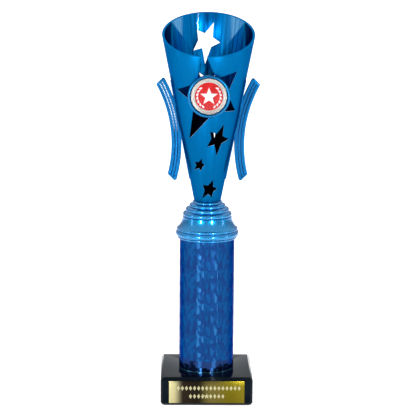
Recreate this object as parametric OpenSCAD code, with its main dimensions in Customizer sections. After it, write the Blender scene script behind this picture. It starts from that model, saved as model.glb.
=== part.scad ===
// Column trophy: a marble block, a foil-covered tube, a stepped riser and a slant-rimmed
// star cup with two blade handles and a round centre, all held together by one tie rod.
// The origin is the centre of the felt's underside, +Z is up and the front faces -Y.

/* [Base] */
// Width of the marble block
base_w = 66; // [60:1:90]
// Depth of the marble block
base_d = 66; // [54:1:90]
// Height of the marble block
base_h = 19.5; // [16:0.5:34]
// Chamfer around the block's top
top_chamfer = 2; // [0.8:0.1:3]
// Chamfer around the block's underside
foot_chamfer = 0.8; // [0.5:0.1:3]
// Chamfer down the block's upright corners
corner_chamfer = 2; // [0.5:0.1:3]
// Diameter of the recess under the block
recess_dia = 26; // [25:0.5:34]
// Thickness of the felt under the block
felt_t = 1; // [0.8:0.1:2]

/* [Engraving plate] */
// Width of the plate
plate_w = 54; // [30:1:56]
// Height of the plate
plate_h = 16.2; // [10:0.1:16.4]
// Thickness of the plate
plate_t = 0.5; // [0.4:0.1:1]
// Thickness of its adhesive tape
tape_t = 0.25; // [0.2:0.05:0.5]

/* [Tie rod] */
// Diameter of the tie rod
rod_dia = 6; // [4:0.5:6.5]
// Width of a nut across its flats
nut_flats = 10; // [9:0.5:10.5]
// Thickness of a nut
nut_t = 5; // [4:0.5:5.5]
// Diameter of the penny washer
penny_dia = 24; // [20:0.5:24.5]
// Thickness of the penny washer
penny_t = 1.5; // [1:0.1:2]
// Thickness of the spring washer
spring_t = 1.6; // [1.2:0.1:2]
// Length of rod that shows past a nut
rod_end = 0.6; // [0.3:0.1:0.9]
// Depth of the upper nut below the cup's floor
nut_sink = 1.1; // [1:0.1:1.5]

/* [Column] */
// Diameter of the column over its foil
column_dia = 40; // [34:0.5:48]
// Length of column that shows
column_h = 96; // [60:1:300]
// Wall of the column's tube
tube_wall = 1.5; // [1:0.1:2.5]
// Thickness of the foil
foil_t = 0.2; // [0.1:0.05:0.4]
// Height of the plugs inside the tube
plug_h = 7; // [5:0.5:12]
// Thickness of a plug's flange
flange_t = 1.2; // [0.8:0.1:2]

/* [Riser] */
// Height of the riser
riser_h = 27; // [25:0.5:32]
// Depth of the recess that takes the tube
skirt_h = 5.2; // [4:0.1:6]
// Wall of the riser around the tube
skirt_wall = 1.2; // [1:0.1:2]
// Thickness of the riser's top
riser_top = 9; // [8:0.1:10]

/* [Cup] */
// Height of the rim at the cup's sides
cup_h = 118.4; // [112:1:150]
// Radius of the cup at its foot
cup_foot_r = 9.6; // [9.2:0.1:11]
// Radius of the cup at its side rims
cup_rim_r = 33; // [30:0.5:40]
// Angle of the rim, high at the back
rim_slant = 21; // [0:1:25]
// Wall of the cup
cup_wall = 1.8; // [1.2:0.1:2.4]
// Thickness of the cup's floor
floor_t = 4; // [2:0.5:5]
// Length of the spigot below the floor
spigot_h = 6; // [5:0.5:7]
// Wall of the spigot around the nut
spigot_wall = 1.5; // [1.2:0.1:2]

/* [Handles] */
// Radius of a handle's outer edge
blade_r = 90; // [70:1:110]
// Width of a handle across its face
blade_w = 7.2; // [5:0.1:9]
// Depth of a handle from front to back
blade_d = 5; // [3.5:0.1:7]
// Height of a handle's waist above the cup's foot
waist_z = 41; // [36:1:46]
// Rise of a handle above its waist
blade_up = 43; // [38:0.1:46]
// Drop of a handle below its waist
blade_down = 21.5; // [18:0.5:24]
// Width of the raised border on a handle
border_w = 1.2; // [0.8:0.1:2]
// Depth of the channel inside the border
channel_d = 0.5; // [0.2:0.1:1]
// Thickness of the rib against the cup
rib_t = 0.4; // [0.3:0.1:1.5]
// Diameter of a locating peg
peg_dia = 3; // [2:0.1:3.5]

/* [Round centre] */
// Diameter of the disc that the holder takes
centre_dia = 25; // [20:0.5:25]
// Height of the centre above the cup's foot
centre_z = 79.3; // [74:0.1:84]
// Outer diameter of the holder
holder_dia = 29.8; // [28:0.1:31]
// Depth of the holder's bowl
bowl_d = 2.4; // [1.8:0.1:3]
// Thickness of the floor behind the bowl
bowl_floor = 1.4; // [1:0.1:2]
// Distance that the bowl's floor stands in front of the cup at the holder's top
holder_stand = 0.6; // [0.4:0.1:3]
// Thickness of the metal backing
backing_t = 0.5; // [0.3:0.1:0.8]
// Diameter of the printed disc
print_dia = 19.6; // [14:0.1:20]
// Thickness of the printed disc
print_t = 0.3; // [0.2:0.05:0.4]
// Rise of the clear dome above its edge
dome_rise = 1; // [0.5:0.1:1.5]

/* [Fits] */
// Gap around a shaft in its hole
shaft_gap = 0.3; // [0.1:0.05:0.5]
// Gap around a piece that drops into a seat
seat_gap = 0.15; // [0.05:0.05:0.3]

/* [Hidden] */
$fn = 96;
HEX = 6;
CUT = 1;
SPLIT_GAP = 1.2;

// Heights of the joints, from the felt's underside up
base_z = felt_t;
column_z = base_z + base_h;
riser_z = column_z + column_h;
cup_z = riser_z + riser_h;
spigot_z = cup_z - spigot_h;
floor_z = cup_z + floor_t;

// The recess holds the penny washer, spring washer and nut, with the rod's end inside it
recess_h = penny_t + spring_t + nut_t + 2 * rod_end;
recess_top = base_z + recess_h;
penny_z = recess_top - penny_t;
spring_z = penny_z - spring_t;
base_nut_z = spring_z - nut_t;
cup_nut_z = floor_z - nut_sink - nut_t;
rod_bottom = base_nut_z - rod_end;
rod_top = cup_nut_z + nut_t + rod_end;

// Radii of the column's layers
foil_r = column_dia / 2;
tube_r = foil_r - foil_t;
tube_bore = tube_r - tube_wall;
plug_r = tube_bore - seat_gap;
skirt_r = foil_r + seat_gap;
tube_bottom = column_z + flange_t;
tube_top = riser_z + skirt_h - flange_t;
rod_hole_r = rod_dia / 2 + shaft_gap;

// Slope of the cup's side, and radii taken from it
flare = (cup_rim_r - cup_foot_r) / cup_h;
wall_x = cup_wall * sqrt(1 + flare * flare);
cone_h = cup_h + 2 * cup_rim_r * tan(rim_slant);
spigot_r = nut_flats / 2 / cos(30) + seat_gap + spigot_wall;
function cup_r(height) = cup_foot_r + flare * height;

// Stars through the cup: [x, height above the foot, waist radius, [[bearing, reach] of each arm]]
FRONT_STARS = [
    [0.6, 79.8, 12.6, [[-113, 35.8], [-35, 22.4], [40, 25.3], [99, 35.5], [174, 23.2]]],
    [6.4, 47.1, 4.4, [[-144, 9.2], [-92, 12.2], [-4, 8.5], [67, 12], [131, 8]]],
    [-5.9, 28, 2.4, [[-132, 5.8], [-77, 4.4], [5, 3.7], [74, 5.3], [147, 4.3]]],
    [1.1, 9.8, 3.4, [[-127, 8.3], [-73, 6.1], [7, 5.9], [70, 8], [142, 5.9]]]];
BACK_STARS = [
    [-1.4, 111.4, 5.6, [[-144, 11.2], [-92, 16.2], [-5, 10.3], [67, 14.4], [129, 10.1]]],
    [1.7, 79.6, 4.4, [[-140, 9.5], [-85, 13], [-8, 9], [62, 10], [130, 12.5]]],
    [4.4, 56.5, 3, [[-140, 8], [-87, 14], [-5, 7], [60, 9], [135, 7]]],
    [-4.2, 35.5, 1.9, [[-135, 4], [-80, 4.2], [0, 3.4], [70, 4], [140, 3.6]]],
    [1.5, 18.5, 1.9, [[-130, 4], [-75, 3.8], [5, 3.6], [72, 4], [144, 3.6]]]];

// The riser steps in from the lip around the tube to the neck under the cup's foot
lip_r = skirt_r + skirt_wall;
neck_r = cup_foot_r + 0.4;
function step_r(share) = neck_r + share * (lip_r - neck_r);

// Beads at the lip: [distance past the lip, height above the riser's foot, bead radius]
LIP_BEADS = [[1.4, 3.9, 2.4], [0.6, 7, 1]];
LIP_H = 7.6;
LIP_EDGE = 0.2;

// Beads on the steps: [share of the way from neck to lip, drop below the riser's top, bead radius]
STEP_BEADS = [[0.07, 1, 1], [0.273, 3.4, 1.7], [0.502, 6.3, 1.8], [0.678, 9.7, 2]];

// The steps' core behind the beads, as shares and drops in the same way
CORE_STEPS = [[0.652, 12.4], [0.581, 9.5], [0.388, 7], [0.176, 4], [0, 1.5]];

// The cove between lip and steps, and the hollow inside the riser
COVE_R = 13.6;
COVE_DEPTH = 3.75;
COVE_DROP = 10;
HOLLOW_WALL = 3.6;
SHOULDER_H = 7;

// The handles' arcs share one centre beside the cup
WAIST_GAP = 1.1;
arc_x = cup_r(waist_z) + WAIST_GAP + blade_r + blade_w;
arc_z = cup_z + waist_z;
END_SLOPE = 1.2;
END_BORDER = 1.6;
TIP_CUT = 1.4;
RIB_EXTRA = 7;
PEG_RISES = [11, 26];

// Depths of the round centre's layers, measured forwards from the cup's axis
holder_r = holder_dia / 2;
bowl_r = centre_dia / 2 + seat_gap;
seat_y = cup_r(centre_z + holder_r) + holder_stand;
holder_front = seat_y + bowl_d;
dome_edge = bowl_d - backing_t - dome_rise;
dome_r = (pow(centre_dia / 2, 2) + dome_rise * dome_rise) / (2 * dome_rise);
DOME_STEPS = 10;
function dome_z(r) = dome_edge + dome_rise - dome_r + sqrt(dome_r * dome_r - r * r);

// A block with chamfered edges, standing on z = 0
module chamfered_block(w, d, h, top, foot, corner) {
    intersection() {
        rotate([90, 0, 90]) linear_extrude(w, center = true) chamfer_outline(d, h, top, foot);
        rotate([90, 0, 0]) linear_extrude(d, center = true) chamfer_outline(w, h, top, foot);
        linear_extrude(h) square_outline(w, d, corner);
    }
}

// Front outline of the block, with its top and bottom corners cut
module chamfer_outline(w, h, top, foot) {
    polygon([[-w / 2 + foot, 0], [w / 2 - foot, 0], [w / 2, foot], [w / 2, h - top],
        [w / 2 - top, h], [-w / 2 + top, h], [-w / 2, h - top], [-w / 2, foot]]);
}

// A rectangle about the origin with its corners cut
module square_outline(w, d, corner) {
    polygon([for (k = [[1, 1], [-1, 1], [-1, -1], [1, -1]])
        for (step = [0, 1])
            let (along_x = (k.x * k.y > 0) == (step == 0))
                [k.x * (w / 2 - (along_x ? 0 : corner)), k.y * (d / 2 - (along_x ? corner : 0))]]);
}

// A round bar with a hole along it, standing on z = 0
module ring(r, hole_r, h) {
    difference() {
        cylinder(r = r, h = h);
        translate([0, 0, -CUT]) cylinder(r = hole_r, h = h + 2 * CUT);
    }
}

// A hexagon nut with a clear hole for the rod, standing on z = 0
module hex_nut() {
    difference() {
        cylinder(d = nut_flats / cos(30), h = nut_t, $fn = HEX);
        translate([0, 0, -CUT]) cylinder(d = rod_dia, h = nut_t + 2 * CUT);
    }
}

// A five-armed star of uneven arms, bearings given anticlockwise
module star_outline(waist, arms) {
    last = len(arms) - 1;
    polygon([for (k = [0:last])
        let (a = arms[k], b = arms[k == last ? 0 : k + 1], turn = k == last ? 360 : 0,
            mid = (a[0] + b[0] + turn) / 2)
            for (p = [[a[0], a[1]], [mid, waist]]) [p[1] * cos(p[0]), p[1] * sin(p[0])]]);
}

// Cutters for a list of stars, running forwards from the cup's axis plane
module star_cutters(stars) {
    for (s = stars)
        translate([s[0], 0, cup_z + s[1]])
            rotate([90, 0, 0]) linear_extrude(2 * cup_rim_r) star_outline(s[2], s[3]);
}

// The cup's outer cone, larger by grow all round
module cup_cone(grow) {
    top_r = cup_r(cone_h) + grow;
    translate([0, 0, cup_z]) cylinder(r1 = cup_foot_r + grow, r2 = top_r, h = cone_h);
}

// Everything above the slanted rim
module above_rim() {
    reach = 2 * cup_rim_r;
    rise = reach * tan(rim_slant);
    translate([0, 0, cup_z + cup_h])
        rotate([90, 0, 90]) linear_extrude(2 * reach, center = true)
            polygon([[-reach, -rise], [reach, rise], [reach, cone_h], [-reach, cone_h]]);
}

module felt_pad() {
    color("#15171c") difference() {
        linear_extrude(felt_t)
            square_outline(base_w - 2 * foot_chamfer, base_d - 2 * foot_chamfer, corner_chamfer);
        translate([0, 0, -CUT]) cylinder(d = recess_dia, h = felt_t + 2 * CUT);
    }
}

module base_block() {
    color("#1a1d22") difference() {
        translate([0, 0, base_z])
            chamfered_block(base_w, base_d, base_h, top_chamfer, foot_chamfer, corner_chamfer);
        translate([0, 0, base_z - CUT]) cylinder(d = recess_dia, h = recess_h + CUT);
        cylinder(r = rod_hole_r, h = column_z + CUT);
    }
}

// The plate and its tape are centred on the flat of the block's front
plate_mid_z = base_z + (foot_chamfer + base_h - top_chamfer) / 2;

module plate_tape() {
    color("#d8d4c4") translate([0, -(base_d + tape_t) / 2, plate_mid_z])
        cube([plate_w - 2, tape_t, plate_h - 2], center = true);
}

module engraving_plate() {
    color("#b59a3c") translate([0, -(base_d + plate_t) / 2 - tape_t, plate_mid_z])
        cube([plate_w, plate_t, plate_h], center = true);
}

module base_nut() {
    color("#b8bcc0") translate([0, 0, base_nut_z]) hex_nut();
}

module cup_nut() {
    color("#b8bcc0") translate([0, 0, cup_nut_z]) hex_nut();
}

module spring_washer() {
    color("#9a9ea2") translate([0, 0, spring_z]) difference() {
        ring(rod_dia, rod_dia / 2 + seat_gap, spring_t);
        rotate([25, 0, 0]) translate([rod_dia * 3 / 4, 0, 0])
            cube([rod_dia, SPLIT_GAP, 4 * spring_t], center = true);
    }
}

module penny_washer() {
    color("#c2c6ca") translate([0, 0, penny_z]) ring(penny_dia / 2, rod_hole_r, penny_t);
}

module tie_rod() {
    color("#b0b4b8") translate([0, 0, rod_bottom]) cylinder(d = rod_dia, h = rod_top - rod_bottom);
}

// A flanged plug with a hub around the rod, flange down on z = 0
module tube_plug() {
    rim = tube_wall + 1;
    difference() {
        union() {
            cylinder(r = tube_r, h = flange_t);
            cylinder(r = plug_r, h = flange_t + plug_h);
        }
        translate([0, 0, 2 * flange_t]) ring(plug_r - rim, rod_hole_r + rim, plug_h);
        translate([0, 0, -CUT]) cylinder(r = rod_hole_r, h = 2 * plug_h);
    }
}

module lower_tube_plug() {
    color("#2b2d30") translate([0, 0, column_z]) tube_plug();
}

module upper_tube_plug() {
    color("#2b2d30") translate([0, 0, tube_top + flange_t]) mirror([0, 0, 1]) tube_plug();
}

module column_tube() {
    color("#9aa2ad") translate([0, 0, tube_bottom]) ring(tube_r, tube_bore, tube_top - tube_bottom);
}

module foil_sleeve() {
    color("#1f49a0") translate([0, 0, column_z]) ring(foil_r, tube_r, tube_top - column_z);
}

// Solid of revolution inside the beads, with the cove cut into it
module riser_core() {
    steps = [for (c = CORE_STEPS) [step_r(c[0]), riser_h - c[1]]];
    difference() {
        rotate_extrude() polygon(concat([[0, 0], [lip_r, 0], [lip_r, LIP_H],
            [lip_r - LIP_EDGE, LIP_H + 2 * LIP_EDGE]], steps, [[neck_r, riser_h], [0, riser_h]]));
        rotate_extrude() translate([lip_r - COVE_DEPTH + COVE_R, riser_h - COVE_DROP])
            circle(r = COVE_R);
    }
}

// A round bead that reaches radius r at height z
module bead(r, z, bead_r) {
    rotate_extrude() translate([r - bead_r, z]) circle(r = bead_r, $fn = 48);
}

module riser() {
    hollow_z = riser_h - riser_top;
    color("#1b93dc") translate([0, 0, riser_z]) difference() {
        union() {
            riser_core();
            for (b = STEP_BEADS) bead(step_r(b[0]), riser_h - b[1], b[2]);
            for (b = LIP_BEADS) bead(lip_r + b[0], b[1], b[2]);
        }
        translate([0, 0, -CUT]) cylinder(r = skirt_r, h = skirt_h + CUT);
        rotate_extrude() polygon([[0, skirt_h - CUT], [tube_bore, skirt_h - CUT],
            [tube_bore, SHOULDER_H], [lip_r - COVE_DEPTH - HOLLOW_WALL, hollow_z], [0, hollow_z]]);
        cylinder(r = rod_hole_r, h = riser_h);
        translate([0, 0, riser_h - spigot_h - seat_gap])
            cylinder(r = spigot_r + seat_gap, h = spigot_h + CUT);
    }
}

module cup() {
    color("#0a6cc4") difference() {
        union() {
            cup_cone(0);
            translate([0, 0, spigot_z]) cylinder(r = spigot_r, h = spigot_h + CUT);
        }
        translate([0, 0, cup_z + floor_t])
            cylinder(r1 = cup_r(floor_t) - wall_x, r2 = cup_r(cone_h) - wall_x, h = cone_h - floor_t);
        above_rim();
        star_cutters(FRONT_STARS);
        mirror([0, 1, 0]) star_cutters(BACK_STARS);
        cylinder(r = rod_hole_r, h = floor_z + CUT);
        translate([0, 0, cup_nut_z])
            cylinder(d = (nut_flats + 2 * seat_gap) / cos(30), h = cup_z, $fn = HEX);
        for (side = [-1, 1]) pegs(side, peg_dia / 2 + seat_gap / 3);
    }
}

// Pegs that locate a handle in the cup's side
module pegs(side, r) {
    for (rise = PEG_RISES)
        translate([side * cup_r(waist_z + rise), 0, arc_z + rise])
            rotate([0, 90 - side * 90, 0]) rotate([0, 90, 0])
                translate([0, 0, -wall_x]) cylinder(r = r, h = wall_x + rib_t / 2);
}

// Part of the plane of the handles between two radii about the arc's centre
module arc_band(inner_r, outer_r, depth) {
    translate([arc_x, 0, arc_z]) rotate([90, 0, 0])
        translate([0, 0, -depth / 2]) ring(outer_r, inner_r, depth);
}

// Sideways distance from an end's outer corner to its tip beside the cup
function tip_out(far) =
    let (lean = 1 + END_SLOPE * END_SLOPE, run = sqrt(blade_r * blade_r - far * far) + END_SLOPE * far)
        (sqrt(run * run + lean * blade_w * (2 * blade_r + blade_w)) - run) / lean;

// The stretch that a handle covers, its ends cut back towards its outer corners and its tips blunted
module blade_ends(inset, depth) {
    top_x = arc_x - sqrt(pow(blade_r, 2) - pow(blade_up, 2));
    low_x = arc_x - sqrt(pow(blade_r, 2) - pow(blade_down, 2));
    reach = 3 * blade_w;
    rise = END_SLOPE * reach;
    top = arc_z + blade_up - inset;
    low = arc_z - blade_down + inset;
    top_tip = END_SLOPE * tip_out(blade_up) - TIP_CUT;
    low_tip = END_SLOPE * tip_out(blade_down) - TIP_CUT;
    rotate([90, 0, 0]) linear_extrude(depth, center = true)
        polygon([[top_x + reach, top - rise], [top_x - top_tip / END_SLOPE, top + top_tip],
            [top_x - reach, top + top_tip], [low_x - reach, low - low_tip],
            [low_x - low_tip / END_SLOPE, low - low_tip], [low_x + reach, low + rise]]);
}

// The right handle; the left one is its mirror image
module handle() {
    difference() {
        union() {
            intersection() {
                arc_band(blade_r, blade_r + blade_w, blade_d);
                blade_ends(0, blade_d + CUT);
            }
            intersection() {
                cup_cone(rib_t);
                translate([cup_rim_r / 2, 0, arc_z + (blade_up - blade_down) / 2])
                    cube([cup_rim_r + 2 * rib_t, blade_d, blade_up + blade_down + RIB_EXTRA], center = true);
            }
        }
        cup_cone(0);
        for (face = [-1, 1]) translate([0, face * blade_d / 2, 0]) intersection() {
            arc_band(blade_r + border_w, blade_r + blade_w - border_w, 2 * channel_d);
            blade_ends(END_BORDER * border_w, 2 * channel_d + CUT);
        }
    }
    pegs(1, peg_dia / 2);
}

module right_handle() {
    color("#0a66bc") handle();
}

module left_handle() {
    color("#0a66bc") mirror([1, 0, 0]) handle();
}

// Turns a solid about z into one about the forward axis at the centre's height
module on_centre() {
    translate([0, 0, cup_z + centre_z]) rotate([90, 0, 0]) children();
}

module centre_holder() {
    edge = 0.7;
    lip_w = 0.9;
    lip_drop = 1.1;
    ledge = 1;
    color("#0a66bc") difference() {
        on_centre() difference() {
            rotate_extrude() polygon([[0, 0], [holder_r, 0], [holder_r, holder_front - edge],
                [holder_r - edge, holder_front], [bowl_r + lip_w, holder_front],
                [bowl_r, holder_front - lip_drop], [bowl_r, seat_y], [0, seat_y]]);
            cylinder(r = bowl_r - ledge, h = seat_y - bowl_floor);
        }
        cup_cone(0);
    }
}

module centre_backing() {
    color("#cfc6b8") on_centre() translate([0, 0, seat_y]) difference() {
        cylinder(d = centre_dia, h = backing_t);
        translate([0, 0, backing_t - print_t])
            cylinder(r = print_dia / 2 + seat_gap, h = print_t + CUT);
    }
}

module centre_print() {
    color("#d8262a") on_centre() translate([0, 0, seat_y + backing_t - print_t])
        cylinder(d = print_dia, h = print_t);
}

module centre_dome() {
    edge_r = centre_dia / 2;
    color([0.95, 0.97, 1, 0.3]) on_centre() translate([0, 0, seat_y + backing_t])
        rotate_extrude() polygon(concat([[0, 0], [edge_r, 0]],
            [for (k = [DOME_STEPS:-1:0]) let (r = edge_r * k / DOME_STEPS) [r, dome_z(r)]]));
}

felt_pad();
base_block();
plate_tape();
engraving_plate();
base_nut();
spring_washer();
penny_washer();
tie_rod();
lower_tube_plug();
column_tube();
foil_sleeve();
upper_tube_plug();
riser();
cup();
cup_nut();
left_handle();
right_handle();
centre_holder();
centre_backing();
centre_print();
centre_dome();
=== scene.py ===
"""Looks of the column trophy: its turned, cut and pressed pieces, their finishes, and the studio."""
from math import cos, pi, radians, sin, sqrt, tan

import bmesh
import bpy
from mathutils import Matrix, Vector


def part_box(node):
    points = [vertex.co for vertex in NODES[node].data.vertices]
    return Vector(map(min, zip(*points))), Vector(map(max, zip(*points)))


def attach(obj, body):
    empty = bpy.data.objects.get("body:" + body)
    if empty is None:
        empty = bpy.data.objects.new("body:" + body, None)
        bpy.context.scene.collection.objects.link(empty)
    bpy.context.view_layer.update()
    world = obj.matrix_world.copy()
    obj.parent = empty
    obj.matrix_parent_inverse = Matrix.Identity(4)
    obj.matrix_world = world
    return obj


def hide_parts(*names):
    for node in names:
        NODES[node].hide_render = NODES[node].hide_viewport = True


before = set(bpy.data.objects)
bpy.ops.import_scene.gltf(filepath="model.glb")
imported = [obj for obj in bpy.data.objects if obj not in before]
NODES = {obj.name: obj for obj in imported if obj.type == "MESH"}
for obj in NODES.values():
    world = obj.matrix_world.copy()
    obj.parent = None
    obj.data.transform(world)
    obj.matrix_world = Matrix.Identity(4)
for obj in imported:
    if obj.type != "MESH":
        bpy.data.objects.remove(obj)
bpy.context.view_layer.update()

MM = 0.001
ROUND_STEPS = 160


# ---------------------------------------------------------------- sizes read off the frame

def span(node, axis):
    """Lowest and highest place of a CAD node along an axis."""
    low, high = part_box(node)
    return low[axis], high[axis]


def middle(node, axis):
    low, high = span(node, axis)
    return (low + high) / 2


BLOCK_LOW, BLOCK_TOP = span("base_block", 2)
BLOCK_HALF = span("base_block", 0)[1]
PLATE_HALF = span("engraving_plate", 0)[1]
PLATE_MID = middle("engraving_plate", 2)
COLUMN_R = span("foil_sleeve", 0)[1]
RISER_LOW, CUP_Z = span("riser", 2)
CUP_TOP = span("cup", 2)[1]
CUP_BACK = span("cup", 1)[1]
HOLDER_R = span("centre_holder", 0)[1]
CENTRE_Z = middle("centre_holder", 2)
HOLDER_FRONT = span("centre_holder", 1)[0]
DISC_R = span("centre_backing", 0)[1]
PRINT_R = span("centre_print", 0)[1]
PRINT_FRONT = span("centre_print", 1)[0]
DOME_FRONT = span("centre_dome", 1)[0]
BLADE_HALF = span("right_handle", 1)[1]

CUP_FOOT_R = 9.6 * MM
CUP_WALL = 1.8 * MM
CUP_SLOPE = (CUP_BACK - CUP_FOOT_R) / (CUP_TOP - CUP_Z)

def cup_r(z):
    """Outer radius of the cup at a height."""
    return CUP_FOOT_R + CUP_SLOPE * (z - CUP_Z)


BLADE_R = 90 * MM
BLADE_W = 7.2 * MM
WAIST_GAP = 1.1 * MM
WAIST_Z = CUP_Z + 41 * MM
ARC_X = cup_r(WAIST_Z) + WAIST_GAP + BLADE_R + BLADE_W


# ---------------------------------------------------------------- modelling tools

def clear_selection():
    if bpy.context.object and bpy.context.object.mode != "OBJECT":
        bpy.ops.object.mode_set(mode="OBJECT")
    bpy.ops.object.select_all(action="DESELECT")


def take(obj):
    """Selects one piece and nothing else."""
    clear_selection()
    bpy.context.view_layer.objects.active = obj
    obj.select_set(True)


def edit(obj, kind):
    """Opens a piece in edit mode with nothing in it selected."""
    take(obj)
    bpy.ops.object.mode_set(mode="EDIT")
    bpy.ops.mesh.select_mode(type=kind)
    bpy.ops.mesh.select_all(action="DESELECT")


def pick(obj, kind, test):
    """Selects the vertices, edges or faces that pass a test, in edit mode."""
    bpy.ops.mesh.select_mode(type=kind)
    bpy.ops.mesh.select_all(action="DESELECT")
    shape = bmesh.from_edit_mesh(obj.data)
    parts = {"VERT": shape.verts, "EDGE": shape.edges, "FACE": shape.faces}[kind]
    for part in parts:
        part.select_set(test(part))
    shape.select_flush_mode()
    bmesh.update_edit_mesh(obj.data)


def close_edit():
    """Merges doubled points, turns the faces outwards and leaves edit mode."""
    bpy.ops.mesh.select_all(action="SELECT")
    bpy.ops.mesh.remove_doubles(threshold=1e-6)
    bpy.ops.mesh.normals_make_consistent(inside=False)
    bpy.ops.object.mode_set(mode="OBJECT")


def named(name):
    obj = bpy.context.object
    obj.name = name
    obj.data.name = name
    return obj


def apply_modifier(obj, kind, **settings):
    modifier = obj.modifiers.new(kind.title(), kind)
    for key, value in settings.items():
        setattr(modifier, key, value)
    take(obj)
    bpy.ops.object.modifier_apply(modifier=modifier.name)


def round_edges(obj, width, segments=3, angle=35):
    apply_modifier(obj, "BEVEL", width=width, segments=segments, limit_method="ANGLE",
                   angle_limit=radians(angle), use_clamp_overlap=True, miter_outer="MITER_ARC")


def smooth(obj, angle=35):
    take(obj)
    bpy.ops.object.shade_smooth_by_angle(angle=radians(angle))


def joined(name, pieces):
    """Makes one piece of several."""
    take(pieces[0])
    for obj in pieces[1:]:
        obj.select_set(True)
    bpy.ops.object.join()
    return named(name)


def place(obj, material, slot_name, *nodes):
    """Gives a finished piece its finish and its body, and hides the CAD nodes that it stands for."""
    obj.data.materials.clear()
    obj.data.materials.append(material)
    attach(obj, "root")
    if nodes:
        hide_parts(*nodes)
    return obj


def arc(centre_r, centre_z, radius, start, end, steps):
    """Points of a round stretch of a turned profile, angles in degrees."""
    turn = [radians(start + (end - start) * k / steps) for k in range(steps + 1)]
    return [(centre_r + radius * cos(a), centre_z + radius * sin(a)) for a in turn]


def turned(name, profile, ring=False, round_steps=ROUND_STEPS):
    """A turned piece: a circle extruded and resized from point to point of (radius, height)."""
    clear_selection()
    r, z = profile[0]
    bpy.ops.mesh.primitive_circle_add(vertices=round_steps, radius=r, location=(0, 0, z),
                                      fill_type="NOTHING" if ring else "NGON")
    obj = named(name)
    bpy.ops.object.transform_apply(location=True)
    bpy.ops.object.mode_set(mode="EDIT")
    bpy.ops.mesh.select_mode(type="EDGE" if ring else "FACE")
    bpy.ops.mesh.select_all(action="SELECT")
    for next_r, next_z in profile[1:]:
        bpy.ops.mesh.extrude_region_move(TRANSFORM_OT_translate={"value": (0, 0, next_z - z)})
        grow = next_r / r
        bpy.ops.transform.resize(value=(grow, grow, 1), center_override=(0, 0, next_z))
        r, z = next_r, next_z
    close_edit()
    return obj


def outline(name, points, depth):
    """A flat outline of (x, z) points facing -Y, extruded from y = 0 towards -Y."""
    clear_selection()
    bpy.ops.mesh.primitive_circle_add(vertices=len(points), radius=1, fill_type="NGON")
    obj = named(name)
    bpy.ops.object.mode_set(mode="EDIT")
    bpy.ops.mesh.select_mode(type="VERT")
    for index, (x, z) in enumerate(points):
        bpy.ops.mesh.select_all(action="DESELECT")
        shape = bmesh.from_edit_mesh(obj.data)
        shape.verts.ensure_lookup_table()
        corner = shape.verts[index]
        corner.select_set(True)
        move = Vector((x, 0, z)) - corner.co
        bpy.ops.transform.translate(value=move)
    bpy.ops.mesh.select_mode(type="FACE")
    bpy.ops.mesh.select_all(action="SELECT")
    bpy.ops.mesh.extrude_region_move(TRANSFORM_OT_translate={"value": (0, -depth, 0)})
    close_edit()
    return obj


def settle(obj):
    """Applies an object's place to its mesh, so that it ends at the origin."""
    take(obj)
    bpy.ops.object.transform_apply(location=True, rotation=True, scale=True)


def move_mesh(obj, x=0, y=0, z=0):
    obj.location = (x, y, z)
    settle(obj)
    return obj


def face_forward(obj, z):
    """Lays a piece that was turned about +Z down, so that its axis points to -Y at a height."""
    obj.rotation_euler = (pi / 2, 0, 0)
    obj.location = (0, 0, z)
    settle(obj)
    return obj


# ---------------------------------------------------------------- finishes

class Reading:
    """A number that changes over a surface; arithmetic on it adds the Math nodes that work it out."""

    def __init__(self, socket):
        self.socket = socket

    def work(self, operation, first, second=0.0):
        node = self.socket.id_data.nodes.new("ShaderNodeMath")
        node.operation = operation
        feed(first, node.inputs[0])
        feed(second, node.inputs[1])
        return Reading(node.outputs[0])

    def __add__(self, other):
        return self.work("ADD", self, other)

    def __sub__(self, other):
        return self.work("SUBTRACT", self, other)

    def __rsub__(self, other):
        return self.work("SUBTRACT", other, self)

    def __mul__(self, other):
        return self.work("MULTIPLY", self, other)

    def __truediv__(self, other):
        return self.work("DIVIDE", self, other)

    def __mod__(self, other):
        return self.work("MODULO", self, other)

    def __abs__(self):
        return self.work("ABSOLUTE", self)

    def __gt__(self, other):
        return self.work("GREATER_THAN", self, other)

    def __lt__(self, other):
        return self.work("LESS_THAN", self, other)


def clamped(reading):
    """Keeps what the last step of a reading gives between 0 and 1."""
    reading.socket.node.use_clamp = True
    return reading


def distance(a, b):
    """Distance from the middle of two readings taken at right angles."""
    squares = a * a + b * b
    return squares.work("SQRT", squares)


def around(y, x):
    """The angle about the upright axis."""
    return y.work("ARCTAN2", y, x)


def wave(turn):
    return turn.work("SINE", turn)


def feed(value, target):
    """Links a reading or a socket to an input, or sets the input to a number, colour or vector."""
    if isinstance(value, Reading):
        value = value.socket
    if isinstance(value, bpy.types.NodeSocket):
        target.id_data.links.new(value, target)
    elif target.type == "RGBA":
        target.default_value = (*value[:3], 1)
    else:
        target.default_value = value


def wire(node, **inputs):
    """Feeds a node's inputs by name, with _ for a space."""
    for name, value in inputs.items():
        feed(value, node.inputs[name.replace("_", " ")])


def add_node(tree, kind, **settings):
    """A shader node with its own settings made and its inputs fed."""
    node = tree.nodes.new(kind)
    for name, value in settings.items():
        if hasattr(node, name):
            setattr(node, name, value)
        else:
            wire(node, **{name: value})
    return node


def object_spot(tree):
    """The place on a piece, as Object coordinates."""
    return add_node(tree, "ShaderNodeTexCoord").outputs["Object"]


def axes(tree):
    """The place on a piece as three readings, x, y and z."""
    parts = add_node(tree, "ShaderNodeSeparateXYZ", Vector=object_spot(tree))
    return [Reading(socket) for socket in parts.outputs]


def stretched(tree, *scale):
    """The place on a piece with each axis scaled, for brushed and rubbed grain."""
    return add_node(tree, "ShaderNodeMapping", Vector=object_spot(tree), Scale=scale).outputs["Vector"]


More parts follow.
